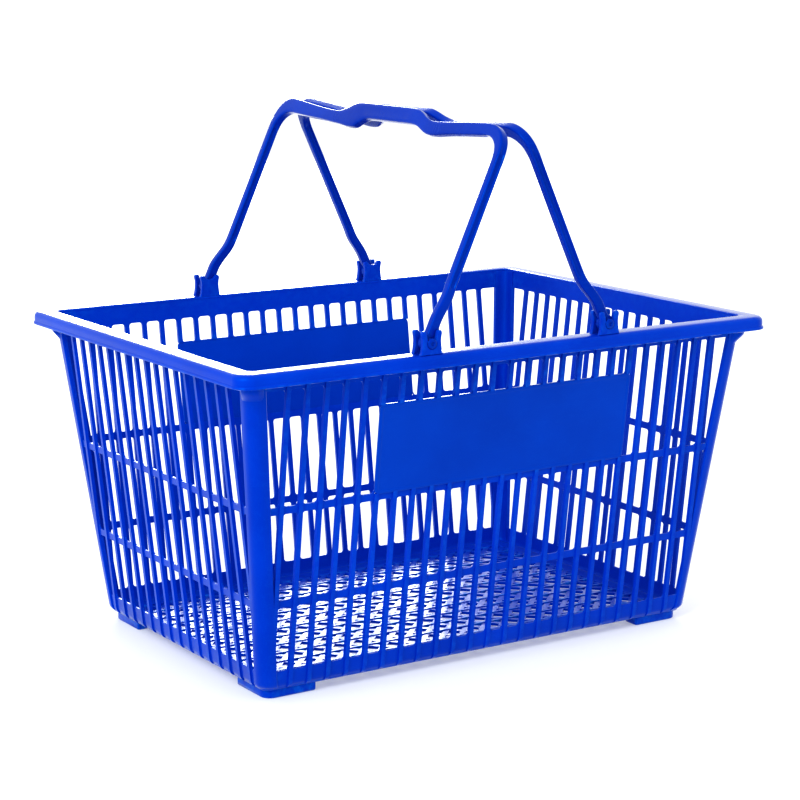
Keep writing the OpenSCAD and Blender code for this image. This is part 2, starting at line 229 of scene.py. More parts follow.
def polypropylene(name, deep, bright, highlight_and_scuff_colour, roughness, grain_scale, grain, edge_highlight, scuff):
    """Blue plastic: colour = mix(deep, bright, flow), then towards the third colour where the painted
    edge highlight and the scuffs lie; roughness + 0.10 * flow + 0.25 * that mask; coat = clamp((slant -
    0.48) * 2.6); bump = grain."""
    material = bpy.data.materials.new(name)
    material.use_nodes = True
    tree = material.node_tree
    shader = next(n for n in tree.nodes if n.type == "BSDF_PRINCIPLED")
    shader.inputs["IOR"].default_value = 1.49
    shader.inputs["Specular IOR Level"].default_value = 0.5
    shader.inputs["Specular Tint"].default_value = (0.02, 0.38, 1.0, 1)
    shader.inputs["Coat Roughness"].default_value = 0.14
    slant = put(tree, "ShaderNodeLayerWeight", Blend=0.5)
    past_slant = maths(tree, "SUBTRACT", slant.outputs["Facing"], 0.48)
    gloss_mask = maths(tree, "MULTIPLY", past_slant, 2.6, True)
    tree.links.new(gloss_mask, shader.inputs["Coat Weight"])
    texture = put(tree, "ShaderNodeGroup", node_tree=grain_group)
    texture.inputs["Scale"].default_value = grain_scale
    edges = put(tree, "ShaderNodeGroup", node_tree=edge_highlight_group)
    edges.inputs["Amount"].default_value = edge_highlight
    marks = put(tree, "ShaderNodeGroup", node_tree=scuff_group)
    marks.inputs["Amount"].default_value = scuff
    flow = put(tree, "ShaderNodeMapRange", From_Min=0.3, From_Max=0.7)
    tree.links.new(texture.outputs["Flow"], flow.inputs["Value"])
    colour = blend_colours(tree, flow.outputs["Result"], deep, bright)
    # the painted edge highlight joined with the real scuffs: where either lies, the colour goes paler
    # azure and the roughness rises
    highlight_and_scuff = maths(tree, "MAXIMUM", edges.outputs["Mask"], marks.outputs["Mask"])
    tree.links.new(blend_colours(tree, highlight_and_scuff, colour, highlight_and_scuff_colour), shader.inputs["Base Color"])
    drift = maths(tree, "MULTIPLY", flow.outputs["Result"], 0.10)
    dull = maths(tree, "MULTIPLY", highlight_and_scuff, 0.25)
    rough = maths(tree, "ADD", maths(tree, "ADD", drift, roughness), dull)
    tree.links.new(rough, shader.inputs["Roughness"])
    bump = put(tree, "ShaderNodeBump", Strength=grain, Distance=0.0003)
    tree.links.new(texture.outputs["Height"], bump.inputs["Height"])
    tree.links.new(bump.outputs["Normal"], shader.inputs["Normal"])
    return material


# the third colour is the pale azure of the painted edge highlight, which the scuffs share; the
# next-to-last number sets how strongly convex edges are painted paler
basket_blue = polypropylene(
    "basket_polypropylene", (0.0, 0.040, 0.42, 1), (0.0, 0.056, 0.52, 1), (0.01, 0.22, 0.70, 1),
    roughness=0.30, grain_scale=1100.0, grain=0.12, edge_highlight=0.9, scuff=0.05)
label_blue = polypropylene(
    "label_polypropylene", (0.0, 0.048, 0.40, 1), (0.0, 0.062, 0.47, 1), (0.01, 0.18, 0.65, 1),
    roughness=0.40, grain_scale=700.0, grain=0.18, edge_highlight=0.30, scuff=0.04)
handle_blue = polypropylene(
    "handle_polypropylene", (0.0, 0.028, 0.32, 1), (0.0, 0.040, 0.40, 1), (0.02, 0.20, 0.65, 1),
    roughness=0.24, grain_scale=1300.0, grain=0.10, edge_highlight=0.6, scuff=0.05)
print("materials:", [m.name for m in bpy.data.materials if m.name.endswith("polypropylene")])

# %% [markdown]
# ## Making a mesh from arrays
#
# Most parts here are surfaces worked out as whole numpy arrays: a grid of points from two
# parameters, joined into quads. One helper turns such arrays into a Blender object, gives it
# its finish and its body, and hides the measured solids that it stands for.

# %% Helpers: grids, objects, bevels
SHARP_ANGLE = 38                              # degrees between faces, past which an edge is sharp


def grid_quads(rows, columns, close_rows=False, close_columns=False):
    """Quads of a rows x columns grid of points. A closed direction joins its last line to
    its first."""
    r = np.arange(rows if close_rows else rows - 1)[:, None]
    c = np.arange(columns if close_columns else columns - 1)[None, :]
    r2, c2 = (r + 1) % rows, (c + 1) % columns
    corners = [r * columns + c, r * columns + c2, r2 * columns + c2, r2 * columns + c]
    return np.stack(corners, -1).reshape(-1, 4)


def tube_faces(rows, around):
    """Quads of a tube whose rows are closed outlines, and one face over each of its ends."""
    sides = grid_quads(rows, around, close_columns=True).tolist()
    return sides + [list(range(around))[::-1], list(range(around * (rows - 1), around * rows))]


def join_shells(shells):
    """Several (points, faces) into one, with the face numbers moved along."""
    points, faces, start = [], [], 0
    for p, f in shells:
        points.append(np.asarray(p, float))
        faces += [[int(i) + start for i in face] for face in f]
        start += len(p)
    return np.concatenate(points), faces


def make_piece(name, shell, material, body, nodes):
    """A mesh object in metres from (points in mm, faces), riding on body and standing for
    nodes. Coinciding points are merged, and the faces are turned outward."""
    points, faces = shell
    mesh = bpy.data.meshes.new(name)
    mesh.from_pydata((np.asarray(points) * MM).tolist(), [], [list(map(int, f)) for f in faces])
    mesh.update()
    bm = bmesh.new()
    bm.from_mesh(mesh)
    bmesh.ops.remove_doubles(bm, verts=bm.verts, dist=1e-7)
    bmesh.ops.recalc_face_normals(bm, faces=bm.faces)
    bm.to_mesh(mesh)
    bm.free()
    mesh.materials.append(material)
    mesh.shade_smooth()
    mesh.set_sharp_from_angle(angle=math.radians(SHARP_ANGLE))
    piece = bpy.data.objects.new(name, mesh)
    bpy.context.scene.collection.objects.link(piece)
    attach(piece, body)
    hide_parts(*nodes)
    return piece


def soften(piece, width_mm, segments=2, angle=SHARP_ANGLE):
    """Rounds every edge sharper than angle, as the mould's own radii do."""
    bevel = piece.modifiers.new("mould_radius", "BEVEL")
    bevel.width = width_mm * MM
    bevel.segments = segments
    bevel.limit_method = "ANGLE"
    bevel.angle_limit = math.radians(angle)
    bevel.harden_normals = True
    bevel.use_clamp_overlap = True
    return piece


def arc(centre_x, centre_y, radius, degrees):
    """Points on a circle: centre + radius (cos t, sin t)."""
    t = np.radians(degrees)
    return np.stack([centre_x + radius * np.cos(t), centre_y + radius * np.sin(t)], -1)


def ease(value, low, high):
    """0 below low, 1 above high, and a smooth step t^2 (3 - 2t) between them."""
    t = np.clip((value - low) / (high - low), 0, 1)
    return t * t * (3 - 2 * t)


def count_faces(*pieces):
    """Prints how many faces each piece has before its modifiers."""
    for piece in pieces:
        print(f"  {piece.name}: {len(piece.data.polygons)} faces")


# %% [markdown]
# ## The rim
#
# The rim is one continuous hoop: a flat top, a turned-down lip with a small bead along its
# lower edge, and a rounded inner edge that hands rest on. It could be a swept curve, but the
# inner edge turns its corners more tightly than the outer one. So each point of the profile
# gets its own rounded rectangle, and the hoop is the grid of profile against path.

# %% The rim as a hoop of rounded rectangles
OUTER_R, INNER_R = 12.0, 5.0                  # corner radii of the rim's two edges
LIP_H = 9.4                                   # depth of the lip, from the rim's top


def rounded_rectangles(half_x, half_y, radius, per_corner=14):
    """Points round rectangles with round corners: corner centre + radius (cos t, sin t).
    half_x, half_y and radius are arrays; the answer is (rectangles, points, 2), anticlockwise."""
    half_x, half_y, radius = (np.atleast_1d(np.asarray(v, float)) for v in (half_x, half_y, radius))
    t = np.radians(np.concatenate([np.linspace(90 * q, 90 * q + 90, per_corner) for q in range(4)]))
    side_x = np.repeat([1, -1, -1, 1], per_corner)
    side_y = np.repeat([1, 1, -1, -1], per_corner)
    x = side_x * (half_x - radius)[:, None] + radius[:, None] * np.cos(t)
    y = side_y * (half_y - radius)[:, None] + radius[:, None] * np.sin(t)
    return np.stack([x, y], -1)


def hoop(profile, half_x, half_y, radius_at, per_corner=14):
    """A closed profile of (distance in from the edge, height) carried round a rectangle with
    round corners. radius_at gives the corner radius for each distance in."""
    inset, height = profile.T
    plan = rounded_rectangles(half_x - inset, half_y - inset, radius_at(inset), per_corner)
    z = np.broadcast_to(height[:, None, None], plan.shape[:2] + (1,))
    points = np.concatenate([plan, z], -1)
    return points.reshape(-1, 3), grid_quads(*plan.shape[:2], close_rows=True, close_columns=True)


def rim_radius(inset):
    """The rim's corner radius, from OUTER_R at its edge to INNER_R at the inside."""
    return OUTER_R + (INNER_R - OUTER_R) * np.clip(inset / FLANGE, 0, 1)


lip_low = RIM_Z - LIP_H
rim_profile = np.array([
    (2.9, RIM_Z - 0.15), (1.9, RIM_Z - 0.5), (1.1, RIM_Z - 1.1), (0.45, RIM_Z - 2.0),
    (0.1, RIM_Z - 3.1), (0.0, RIM_Z - 4.6), (0.0, lip_low + 2.4), (-0.4, lip_low + 1.9),
    (-0.6, lip_low + 1.1), (-0.4, lip_low + 0.3), (0.2, lip_low), (1.5, lip_low),
    (2.0, lip_low + 0.5), (2.4, RIM_Z - 4.6), (3.2, UNDER_RIM - 0.1), (4.6, UNDER_RIM),
    (13.4, UNDER_RIM), (14.2, UNDER_RIM + 0.3), (FLANGE, UNDER_RIM + 0.9), (FLANGE, RIM_Z - 0.9),
    (14.2, RIM_Z - 0.25), (13.6, RIM_Z), (10.0, RIM_Z + 0.02), (4.4, RIM_Z)])
rim = make_piece("rim_hoop", hoop(rim_profile, RIM_X, RIM_Y, rim_radius), basket_blue,
                 "basket", ["front_rim", "back_rim", "left_rim", "right_rim"])
count_faces(rim)

# %% [markdown]
# ## Lattice plates
#
# Walls and floor are plates with hundreds of windows and ribs standing on them. A boolean for
# each window would be slow, so a plate is drawn on squared paper instead: lines at every edge
# of a rib or window, and each square of the paper says how many layers of plastic it has. The
# skin between full and empty squares is then found for the whole plate at once.

# %% The skin of a layered plate


def layered_skin(xs, ys, zs, layers):
    """The surface round a chequer of boxes. layers[i, j] says how many of the steps in zs the
    square (i, j) fills from the bottom. A face lies wherever full meets empty, along x, y or z."""
    full = np.arange(len(zs) - 1)[None, None, :] < layers[:, :, None]
    padded = np.pad(full, 1).astype(int)
    shape = (len(xs), len(ys), len(zs))
    corners = {0: ((0, 0, 0), (0, 1, 0), (0, 1, 1), (0, 0, 1)),
               1: ((0, 0, 0), (0, 0, 1), (1, 0, 1), (1, 0, 0)),
               2: ((0, 0, 0), (1, 0, 0), (1, 1, 0), (0, 1, 0))}
    quads = []
    for axis, offsets in corners.items():
        inner = [slice(1, -1)] * 3
        inner[axis] = slice(None)
        step = np.diff(padded[tuple(inner)], axis=axis)
        for sign in (-1, 1):
            cell = np.argwhere(step == sign)
            number = [np.ravel_multi_index(tuple((cell + offset).T), shape) for offset in offsets]
            quad = np.stack(number, -1)
            quads.append(quad if sign == -1 else quad[:, ::-1])
    quads = np.concatenate(quads)
    used, numbers = np.unique(quads, return_inverse=True)
    i, j, k = np.unravel_index(used, shape)
    points = np.stack([np.asarray(xs)[i], np.asarray(ys)[j], np.asarray(zs)[k]], -1)
    return points, numbers.reshape(-1, 4)


def cut_shell(shell, planes):
    """Keeps the part of a closed shell behind each plane (point, normal) and caps the cuts."""
    points, faces = shell
    mesh = bpy.data.meshes.new("cutting")
    mesh.from_pydata(np.asarray(points).tolist(), [], [list(map(int, f)) for f in faces])
    bm = bmesh.new()
    bm.from_mesh(mesh)
    for place, normal in planes:
        bmesh.ops.bisect_plane(
            bm, geom=bm.verts[:] + bm.edges[:] + bm.faces[:], dist=1e-4,
            plane_co=place, plane_no=normal, clear_outer=True)
        open_edges = [e for e in bm.edges if e.is_boundary]
        bmesh.ops.holes_fill(bm, edges=open_edges, sides=0)
    bm.to_mesh(mesh)
    bm.free()
    points = np.empty(3 * len(mesh.vertices), np.float32)
    mesh.vertices.foreach_get("co", points)
    faces = [list(polygon.vertices) for polygon in mesh.polygons]
    bpy.data.meshes.remove(mesh)
    return points.reshape(-1, 3), faces


# %% [markdown]
# ## The lattice walls
#
# A wall has three rows of tall windows between upright ribs, two cross bars, a band under the
# rim and a band above the base. The ribs run over the bands to the full height, and they are
# drafted: a rib's foot is wider than its crest, so the part leaves its mould. The window
# corners are rounded by small fillets, which keeps cracks from starting there. A wall could be
# built leaning from the start, but a flat drawing is easier to think in. So it is drawn flat,
# its ends are trimmed to the posts, and one formula then stands it up, leans it and turns it in
# at the base.

# %% One wall, drawn flat and then leaned back
WINDOW_ROWS = [(20.0, 65.0), (70.0, 130.0), (135.0, RIM_Z - 14.5)]
LABEL_ROWS = (135.0, 195.5)                   # the panel's lower and upper edge
LABEL_HALF = 7 * PITCH + RIB / 2              # half its length: it ends on a rib
POST_TOP, POST_LOW = 12.8, 11.4               # width of a post on a wall, at the rim and the base
POST_ROOM = 13.0                              # kept free of ribs for a post


def flat_wall(end, labelled):
    """One wall drawn flat, as (points, faces) with x along it, then height, then depth.
    end(z) is half the wall's length at height z, out to the corner of the basket."""
    reach = end(UNDER_RIM)
    ribs = int((reach - POST_ROOM) / PITCH - 0.6)     # on each side of the middle one
    centres = PITCH * np.arange(-ribs, ribs + 1)
    foot = RIB / 2 + RIB_FOOT
    xs = np.sort(np.concatenate([centres - foot, centres + foot, [-reach - 4, reach + 4]]))
    zs = np.unique([*TURN_ROWS, *np.ravel(WINDOW_ROWS), LABEL_ROWS[1], WALL_TOP])
    mid_x, mid_z = (xs[1:] + xs[:-1]) / 2, (zs[1:] + zs[:-1]) / 2
    is_rib = np.abs(mid_x[:, None] - centres[None, :]).min(1) < foot
    in_window = np.any([(mid_z > low) & (mid_z < high) for low, high in WINDOW_ROWS], axis=0)
    layers = np.where(is_rib[:, None], 2, np.where(in_window[None, :], 0, 1))
    if labelled:      # the panel takes the place of ribs and windows, up to the rib at its end
        in_label = (mid_z > LABEL_ROWS[0]) & (mid_z < LABEL_ROWS[1])
        layers[(np.abs(mid_x)[:, None] < LABEL_HALF + 4) & in_label] = 0
    points, quads = layered_skin(xs, zs, [0.0, SHEET, WALL], layers)
    # draft: a rib's sides close in towards its crest, by RIB_FOOT over the wall's depth
    nearest = centres[np.abs(points[:, :1] - centres[None, :]).argmin(1)]
    off_rib = points[:, 0] - nearest
    on_rib = np.abs(off_rib) < foot + 0.01
    points[:, 0] -= np.sign(off_rib) * RIB_FOOT * points[:, 2] / WALL * on_rib
    points, faces = join_shells([(points, quads), window_fillets(xs, is_rib, labelled)])
    # each end is trimmed 1.2 mm inside its post, whose edge leans with the corner
    low_end = end(FLOOR_LOW) + tuck(FLOOR_LOW) - POST_LOW
    high_end = end(UNDER_RIM) + tuck(UNDER_RIM) - POST_TOP
    lean = (high_end - low_end) / RISE
    planes = [((side * (low_end + 1.2), FLOOR_LOW, 0), (side, -lean, 0)) for side in (-1, 1)]
    return cut_shell((points, faces), planes)


def window_fillets(xs, is_rib, labelled, radius=2.2, steps=4):
    """Small concave wedges in every window corner: corner, then an arc r (1 - sin t, 1 - cos t).
    Each starts 0.3 mm inside the plastic and stops 0.15 mm short of both faces."""
    t = np.linspace(0, np.pi / 2, steps)
    wedge = np.concatenate([[(-0.3, -0.3), (radius, -0.3), (radius, 0.0)],
                            radius * np.stack([1 - np.sin(t), 1 - np.cos(t)], -1)[1:-1],
                            [(0.0, radius), (-0.3, radius)]])
    places = []
    for low, high in WINDOW_ROWS:
        for i in np.flatnonzero(~is_rib):
            left, right = xs[i], xs[i + 1]
            over_label = labelled and low == LABEL_ROWS[0] and abs(left + right) / 2 < LABEL_HALF
            for x, sx in ((left, 1), (right, -1)):
                if abs(x) < xs[-1] - 1:
                    places.append((x, LABEL_ROWS[1] if over_label else low, sx, 1))
                    places.append((x, high, sx, -1))
    places = np.array(places)
    corner = wedge[None] * places[:, None, 2:] + places[:, None, :2]
    n, m = corner.shape[:2]
    low_side = np.concatenate([corner, np.full((n, m, 1), 0.15)], -1)
    high_side = np.concatenate([corner, np.full((n, m, 1), SHEET - 0.15)], -1)
    points = np.stack([low_side, high_side], 1).reshape(-1, 3)
    base = (np.arange(n) * 2 * m)[:, None]
    k = np.arange(m)
    k2 = (k + 1) % m
    sides = np.stack([base + k, base + k2, base + m + k2, base + m + k], -1).reshape(-1, 4)
    caps = [list(b + k[::-1]) for b in base[:, 0]] + [list(b + m + k) for b in base[:, 0]]
    return points, sides.tolist() + caps


def lean_wall(shell, slope, outer, turn):
    """Stands a flat wall up and turns it round Z by turn degrees. Its outer face follows
    outer(z), and depth goes outward along the leaned normal."""
    points, faces = shell
    tilt = math.atan(slope)
    x, z, w = points[:, 0], points[:, 1], points[:, 2]
    inner = outer(z) - WALL / math.cos(tilt)
    out = inner + w * math.cos(tilt) + w * math.sin(tilt) * slope
    placed = np.stack([x, -out, z - w * math.sin(tilt)], -1)
    c, s = math.cos(math.radians(turn)), math.sin(math.radians(turn))
    return placed @ np.array([[c, s, 0], [-s, c, 0], [0, 0, 1]]), faces


long_wall, short_wall = flat_wall(outer_x, True), flat_wall(outer_y, False)
for side, flat, slope, outer, turn in (
        ("front", long_wall, SLOPE_Y, outer_y, 0), ("back", long_wall, SLOPE_Y, outer_y, 180),
        ("left", short_wall, SLOPE_X, outer_x, -90), ("right", short_wall, SLOPE_X, outer_x, 90)):
    wall = make_piece(f"{side}_lattice", lean_wall(flat, slope, outer, turn), basket_blue,
                      "basket", [f"{side}_wall"])
    soften(wall, 0.35)
    count_faces(wall)

# %% [markdown]
# ## The label panels
#
# A blank panel on each long side takes the shop's own label. It is a plain plate, flush with
# the rib crests, with soft corners; a subtle raised border frames the space for the sticker.
# A box with a bevel would have the same roundness on every edge, and no border. Rings of one
# rounded rectangle, each with its own inset and depth, give both.

# %% Label panels


def label_plate():
    """A plate with a rounded outline and a shallow field: rings of the outline at several depths."""
    rings = np.array([  # (inset from the outline, depth from the crests)
        (1.2, -2.1), (0.3, -1.9), (0.0, -1.5), (0.0, -0.4), (0.3, -0.05), (0.8, 0.05),
        (2.2, 0.05), (2.6, -0.1), (3.2, -0.15)])
    half_x, half_z = LABEL_HALF + 0.4, (LABEL_ROWS[1] - LABEL_ROWS[0]) / 2 + 0.6
    plan = rounded_rectangles(half_x - rings[:, 0], half_z - rings[:, 0], 3.4 - 0.6 * rings[:, 0], 6)
    z_middle = (LABEL_ROWS[0] + LABEL_ROWS[1]) / 2
    depth = np.broadcast_to(rings[:, 1, None, None] + WALL, plan.shape[:2] + (1,))
    points = np.concatenate([plan + np.array([0, z_middle]), depth], -1).reshape(-1, 3)
    return points, tube_faces(*plan.shape[:2])


for side, turn in (("front", 0), ("back", 180)):
    panel = make_piece(
        f"{side}_label_plate", lean_wall(label_plate(), SLOPE_Y, outer_y, turn), label_blue,
        "basket", [f"{side}_label_panel"])
    count_faces(panel)

# %% [markdown]
# ## Corner posts
#
# The posts carry the load from the rim to the feet. Each is an angle section with a rounded
# heel, and it narrows on its way down. Under the rim a collar fills the corner. An extruded
# angle can't narrow, lean two ways and turn in at the base all at once, so a post is a stack of
# level outlines, one row of the grid for each height.

# %% Corner posts and collars
SIGNS = {"front_left": (-1, -1), "front_right": (1, -1), "back_left": (-1, 1), "back_right": (1, 1)}
POST_R = 9.0                                  # outer radius of a post's heel
COLLAR_R, COLLAR_IN_R = 8.5, 7.0              # outer and inner radius of the collar
COLLAR_LOW, COLLAR_RISE = RIM_Z - 21.5, 9.0   # where the collar starts, and how far it grows


def angle_outline(heel_x, heel_y, arm, radius, depth, n=10):
    """One level outline of an angle section whose heel is at (heel_x, heel_y): the heel's arc,
    the end of one arm, the inner arc with radius - depth, and the end of the other arm."""
    quarter = np.linspace(0, 90, n)
    cx, cy = heel_x - radius, heel_y - radius
    soft = 0.6
    end_y = [(heel_x - arm + soft, heel_y), (heel_x - arm, heel_y - soft),
             (heel_x - arm, heel_y - depth)]
    end_x = [(heel_x - depth, heel_y - arm), (heel_x - soft, heel_y - arm),
             (heel_x, heel_y - arm + soft)]
    return np.concatenate([arc(cx, cy, radius, quarter), end_y,
                           arc(cx, cy, radius - depth, quarter[::-1]), end_x])


def stack_outlines(outlines, heights):
    """Outlines at rising heights joined into a closed shell with flat ends."""
    z = np.broadcast_to(np.asarray(heights, float)[:, None, None], outlines.shape[:2] + (1,))
    points = np.concatenate([outlines, z], -1).reshape(-1, 3)
    return points, tube_faces(*outlines.shape[:2])


def post_shell():
    """The back right post: its arms widen evenly from POST_LOW at the base to POST_TOP."""
    heights = np.concatenate([TURN_ROWS, np.linspace(WINDOW_ROWS[0][0], WALL_TOP, 10)])
    share = (heights - heights[0]) / (heights[-1] - heights[0])
    arms = POST_LOW + (POST_TOP - POST_LOW) * share
    return stack_outlines(
        np.stack([angle_outline(outer_x(z), outer_y(z), arm, POST_R, POST_DEPTH)
                  for z, arm in zip(heights, arms)]), heights)


def collar_outline(z, reach, n=12):
    """Level outline of the collar: a heel pushed out by reach, and an inner arc in the post."""
    post_x, post_y = outer_x(z), outer_y(z)
    quarter = np.linspace(0, 90, n)
    heel = arc(post_x + reach - COLLAR_R, post_y + reach - COLLAR_R, COLLAR_R, quarter)
    cx, cy = post_x - POST_R, post_y - POST_R
    inner = arc(cx, cy, COLLAR_IN_R, quarter[::-1])
    end_y = [(cx - 2.5, post_y - 0.4), (cx - 2.5, cy + COLLAR_IN_R)]
    end_x = [(cx + COLLAR_IN_R, cy - 2.5), (post_x - 0.4, cy - 2.5)]
    return np.concatenate([heel, end_y, inner, end_x])


def collar_shell():
    """The back right collar, which fills the corner under the lip and fades into the post:
    it stands out by 3.7 times a smooth step, less the 0.4 mm that it starts inside the post."""
    growing = np.linspace(COLLAR_LOW, COLLAR_LOW + COLLAR_RISE, 8)
    heights = np.concatenate([growing, [UNDER_RIM + 0.4]])
    reaches = 3.7 * ease(heights, COLLAR_LOW, COLLAR_LOW + COLLAR_RISE) - 0.4
    return stack_outlines(
        np.stack([collar_outline(z, reach) for z, reach in zip(heights, reaches)]), heights)


def mirrored(shell, sx, sy):
    """A shell made for the back right corner, reflected to another one. A reflection turns
    faces inside out, and make_piece turns them outward again."""
    return shell[0] * np.array([sx, sy, 1]), shell[1]


back_right_post = join_shells([post_shell(), collar_shell()])
for corner, (sx, sy) in SIGNS.items():
    post = make_piece(f"{corner}_corner_post", mirrored(back_right_post, sx, sy), basket_blue,
                      "basket", [f"{corner}_post"])
    soften(post, 0.35)
count_faces(post)

# %% [markdown]
# ## The floor
#
# The floor is a solid border round a diamond lattice, stiffened by straight bars. Boxes laid
# crosswise would run into each other at every crossing. So the lattice is the same squared
# paper as the walls, turned by 45 degrees and trimmed by four planes, and its ends stand
# 0.4 mm inside the border.

# %% Floor
BORDER = 13.0                                 # width of the solid border
GRID_PITCH, GRID_BAR = 12.0, 4.2              # spacing and width of the lattice's bars
CROSS_HALF = 1.3                              # half the width of a straight bar


def diamond_lattice(half_x, half_y):
    """Bars of GRID_BAR every GRID_PITCH, both ways: a square is full where its row or its
    column is a bar. The plate is then turned by (x - y, x + y) / sqrt 2 and trimmed."""
    reach = (half_x + half_y) / math.sqrt(2) + GRID_PITCH
    lines = np.arange(-reach, reach, GRID_PITCH)
    lines -= lines[len(lines) // 2]
    edges = np.sort(np.concatenate([lines - GRID_BAR / 2, lines + GRID_BAR / 2]))
    middle = (edges[1:] + edges[:-1]) / 2
    bar = np.abs(middle[:, None] - lines[None, :]).min(1) < GRID_BAR / 2
    layers = (bar[:, None] | bar[None, :]).astype(int)
    points, quads = layered_skin(edges, edges, [FLOOR_LOW + 0.4, FLOOR_TOP - 0.3], layers)
    c = math.sqrt(0.5)
    points = points @ np.array([[c, c, 0], [-c, c, 0], [0, 0, 1]])
    planes = [((side * (half_x + 0.4), 0, 0), (side, 0, 0)) for side in (-1, 1)]
    planes += [((0, side * (half_y + 0.4), 0), (0, side, 0)) for side in (-1, 1)]
    return cut_shell((points, quads), planes)


def cross_bar(half_x, y):
    """One straight bar along x, a little deeper than the lattice that it stiffens."""
    plan = np.array([(-half_x, y - CROSS_HALF), (half_x, y - CROSS_HALF),
                     (half_x, y + CROSS_HALF), (-half_x, y + CROSS_HALF)])
    return stack_outlines(np.stack([plan, plan]), [FLOOR_LOW + 0.2, FLOOR_TOP + 0.3])


def border_radius(inset):
    """The border's corner radius: the post's, less the distance in, and 3 mm or more."""
    return np.maximum(POST_R - inset, 3.0)


low, top = FLOOR_LOW, FLOOR_TOP
border_profile = np.array([
    (4.6, low), (3.6, low + 0.2), (2.6, low + 0.9), (1.6, top + 0.6), (BORDER - 0.4, top),
    (BORDER, top - 0.4), (BORDER, low + 0.4), (BORDER - 0.4, low)])
hole_x, hole_y = BASE_X - BORDER, BASE_Y - BORDER
cross_y = np.arange(-5, 6) * GRID_PITCH * math.sqrt(2)
floor_shells = [hoop(border_profile, BASE_X, BASE_Y, border_radius, 8), diamond_lattice(hole_x, hole_y)]
floor_shells += [cross_bar(hole_x + 0.4, y) for y in cross_y]
floor = make_piece("floor_lattice", join_shells(floor_shells), basket_blue,
                   "basket", ["floor_grid"])
soften(floor, 0.3, 1)
count_faces(floor)

# %% [markdown]
# ## Feet
#
# Four shallow L-shaped pads keep the lattice off the ground and slide over counters, so their
# lower edges are rounded. They are made like the posts, as level outlines, and the two lowest
# ones are drawn in.

# %% Feet
FOOT_ARM, FOOT_WIDTH, FOOT_R = 39.0, 13.0, 7.8
FOOT_EDGE = 4.4                               # how far a foot stands inside the base's edge


def pad_outline(heel_x, heel_y, arm, radius, width, n=8):
    """Level outline of a broad L: the heel's arc, the two arm ends and a small inner fillet."""
    quarter, fillet, chamfer = np.linspace(0, 90, n), 2.0, 1
    ix, iy = heel_x - width, heel_y - width
    ex, ey = heel_x - arm, heel_y - arm
    end_y = [(ex + chamfer, heel_y), (ex, heel_y - chamfer), (ex, iy + chamfer), (ex + chamfer, iy)]
    end_x = [(ix, ey + chamfer), (ix + chamfer, ey), (heel_x - chamfer, ey), (heel_x, ey + chamfer)]
    return np.concatenate([arc(heel_x - radius, heel_y - radius, radius, quarter), end_y,
                           arc(ix - fillet, iy - fillet, fillet, quarter[::-1]), end_x])


def foot_shell():
    """The back right foot: its outlines shrink by an inset on every side near the ground."""
    heights = np.array([0.0, 0.35, 1.1, 3.0, FLOOR_LOW + 0.3])
    insets = np.array([1.1, 0.45, 0.0, 0.0, 0.0])
    heel_x, heel_y = BASE_X - FOOT_EDGE, BASE_Y - FOOT_EDGE
    return stack_outlines(
        np.stack([pad_outline(heel_x - i, heel_y - i, FOOT_ARM - 2 * i, FOOT_R - i, FOOT_WIDTH - 2 * i)
                  for i in insets]), heights)


for corner, (sx, sy) in SIGNS.items():
    foot = make_piece(f"{corner}_pad", mirrored(foot_shell(), sx, sy), basket_blue,
                      "basket", [f"{corner}_foot"])
count_faces(foot)

# %% [markdown]
# ## Hinge lugs
#
# A lug is a fork on the rim: two horns that spring apart as the handle's pin is pressed down
# between them, and close over it in a round seat. Its foot spreads along the rim, and a second
# cheek on the rim's inner side covers the handle's eye. A boolean cut would leave a ragged
# throat, so half of each cheek is drawn as one outline, mirrored and given its thickness.

# %% Lugs
LUG_X = (corner_mm("back_right_lug", 0)[0] + corner_mm("back_right_lug", 1)[0]) / 2
LUG_IN, LUG_OUT = corner_mm("back_left_lug", 0)[1], corner_mm("back_left_lug", 1)[1]
PIN_H = 7.0                                   # height of the pins' axis over the rim
PIN_R, SEAT_R = 3.5, 3.55                     # a pin, and the seat that it turns in


def lug_outline(seat=True):
    """Half of a cheek from its foot to the middle, mirrored: flared foot, waist, rounded horn,
    then the throat and the arc of the pin's seat, or on the inner cheek a shallow dip."""
    side = [(8.8, -0.3), (8.1, 0.7), (7.6, 2.6), (7.2, 5.5), (7.0, 8.5), (7.2, 11.0), (7.6, 12.8),
            (7.7, 14.0), (7.4, 14.9), (6.6, 15.5), (5.6, 15.6)]
    if seat:
        throat = np.concatenate([[(4.8, 15.2), (4.3, 14.0), (3.8, 12.2), (3.4, 10.4)],
                                 arc(0.0, PIN_H, SEAT_R, np.linspace(29, -90, 10))])
    else:
        throat = np.array([(4.8, 15.3), (4.1, 14.5), (3.1, 13.4), (1.7, 12.7), (0.0, 12.5)])
    right = np.concatenate([side, throat])
    left = right[::-1][1:] * [-1, 1]
    return np.concatenate([right, left])


def prism(outline, depth_low, depth_high):
    """An outline in (x, z) drawn out along y, with both ends closed."""
    n = len(outline)
    y = np.repeat([depth_low, depth_high], n)
    points = np.stack([np.tile(outline[:, 0], 2), y, np.tile(outline[:, 1], 2)], -1)
    k = np.arange(n)
    sides = np.stack([k, (k + 1) % n, n + (k + 1) % n, n + k], -1).tolist()
    return points, sides + [list(k[::-1]), list(n + k)]


def lug_shell():
    """The back right lug: the outer fork that holds the pin, 1.2 mm inside the measured lug's
    outer face, and the cheek, 0.4 to 3.5 mm from the rim's inner edge."""
    fork = prism(lug_outline() + [LUG_X, RIM_Z], LUG_IN, LUG_OUT - 1.2)
    cheek = prism(lug_outline(False) + [LUG_X, RIM_Z], IN_Y + 0.4, IN_Y + 3.5)
    return join_shells([fork, cheek])


for corner, (sx, sy) in SIGNS.items():
    lug = make_piece(f"{corner}_fork", mirrored(lug_shell(), sx, sy), basket_blue,
                     "basket", [f"{corner}_lug"])
    soften(lug, 0.55, 2, 50)
count_faces(lug)

